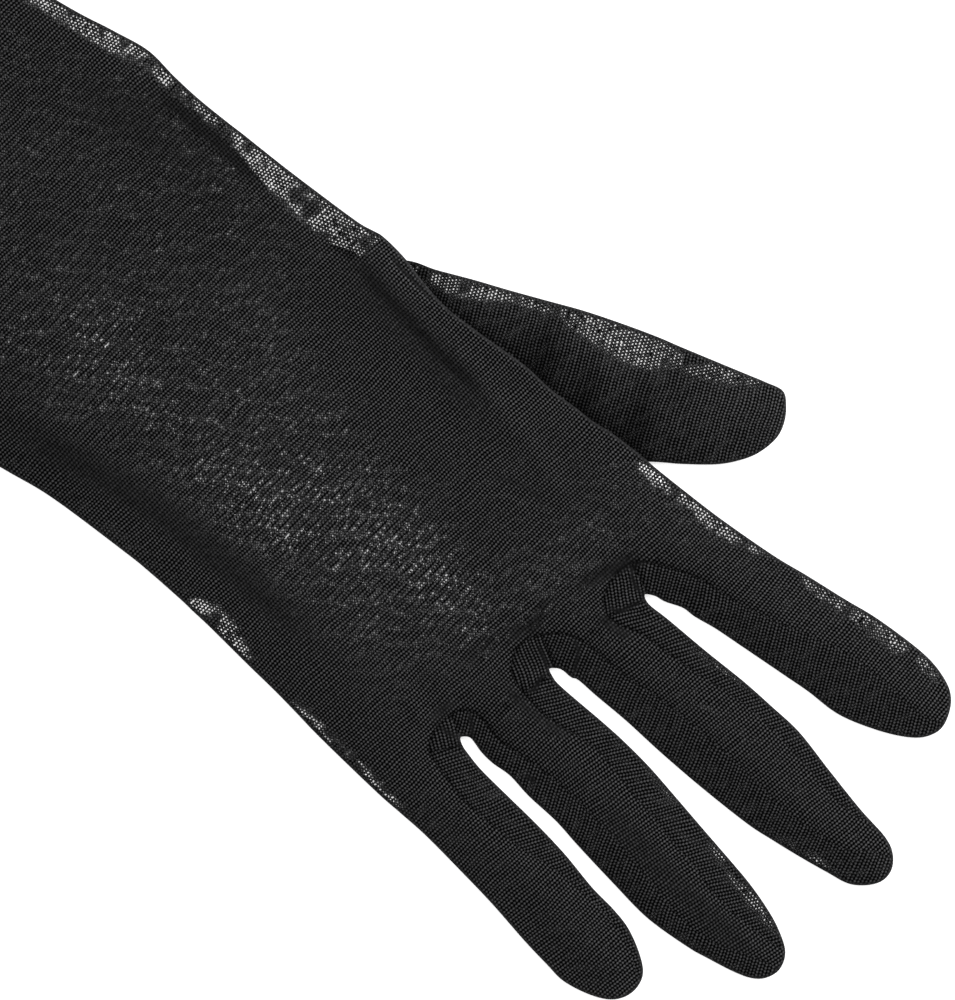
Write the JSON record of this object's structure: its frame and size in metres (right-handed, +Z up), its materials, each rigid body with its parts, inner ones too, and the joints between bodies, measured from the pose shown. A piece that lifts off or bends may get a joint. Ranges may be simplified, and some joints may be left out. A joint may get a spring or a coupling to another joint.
{
  "type": "opera glove",
  "caption": "Long right-hand opera glove in sheer black stretch mesh, lying flat, back of the hand up, with sewn finger strips, web gussets, a thumb piece and an over-elbow sleeve.",
  "frame": {"origin": "under the middle of the palm, on the surface that the glove lies on", "axes": "+X towards the fingertips, +Y towards the thumb, +Z up, out of the back of the hand"},
  "size_m": [0.5568, 0.1828, 0.008],
  "materials": {
    "stretch_mesh": "matte sheer power mesh, near-black",
    "strip_mesh": "the same mesh cut across, in the finger strips and gussets",
    "seam_allowance": "overlocked cloth edges, four layers thick",
    "hem_mesh": "mesh turned in once and stitched"
  },
  "bodies": {
    "hand": {"back_panel": "stretch_mesh", "palm_panel": "stretch_mesh", "web_gusset_index_middle": "strip_mesh", "web_gusset_middle_ring": "strip_mesh", "web_gusset_ring_little": "strip_mesh", "forearm_seam_allowance": "seam_allowance"},
    "index_finger": {"index_back": "stretch_mesh", "index_palm": "stretch_mesh", "index_fourchette_middle_side": "strip_mesh"},
    "middle_finger": {"middle_back": "stretch_mesh", "middle_palm": "stretch_mesh", "middle_fourchette_index_side": "strip_mesh", "middle_fourchette_ring_side": "strip_mesh"},
    "ring_finger": {"ring_back": "stretch_mesh", "ring_palm": "stretch_mesh", "ring_fourchette_middle_side": "strip_mesh", "ring_fourchette_little_side": "strip_mesh"},
    "little_finger": {"little_back": "stretch_mesh", "little_palm": "stretch_mesh", "little_fourchette_ring_side": "strip_mesh"},
    "thumb": {"thumb_piece": "stretch_mesh"},
    "upper_sleeve": {"upper_sleeve_back": "stretch_mesh", "upper_sleeve_palm": "stretch_mesh", "hem_band": "hem_mesh", "upper_sleeve_seam_allowance": "seam_allowance"}
  },
  "joints": [
    {"name": "index_lift", "type": "hinge", "parent": "hand", "child": "index_finger", "pos_m": [0.043, 0.03105, 0.008], "axis": [0, -1, 0], "range_deg": [0, 80]},
    {"name": "middle_lift", "type": "hinge", "parent": "hand", "child": "middle_finger", "pos_m": [0.043, 0.00815, 0.008], "axis": [0, -1, 0], "range_deg": [0, 80]},
    {"name": "ring_lift", "type": "hinge", "parent": "hand", "child": "ring_finger", "pos_m": [0.038, -0.01445, 0.008], "axis": [0, -1, 0], "range_deg": [0, 80]},
    {"name": "little_lift", "type": "hinge", "parent": "hand", "child": "little_finger", "pos_m": [0.034, -0.03475, 0.008], "axis": [0, -1, 0], "range_deg": [0, 80]},
    {"name": "thumb_lift", "type": "hinge", "parent": "hand", "child": "thumb", "pos_m": [-0.0085, 0.0398, 0.0063], "axis": [1, 0, 0], "range_deg": [0, 80]},
    {"name": "sleeve_fold", "type": "hinge", "parent": "hand", "child": "upper_sleeve", "pos_m": [-0.2456, -0.03004, 0.0085], "axis": [-0.1736, 0.9848, 0], "range_deg": [0, 172]}
  ]
}
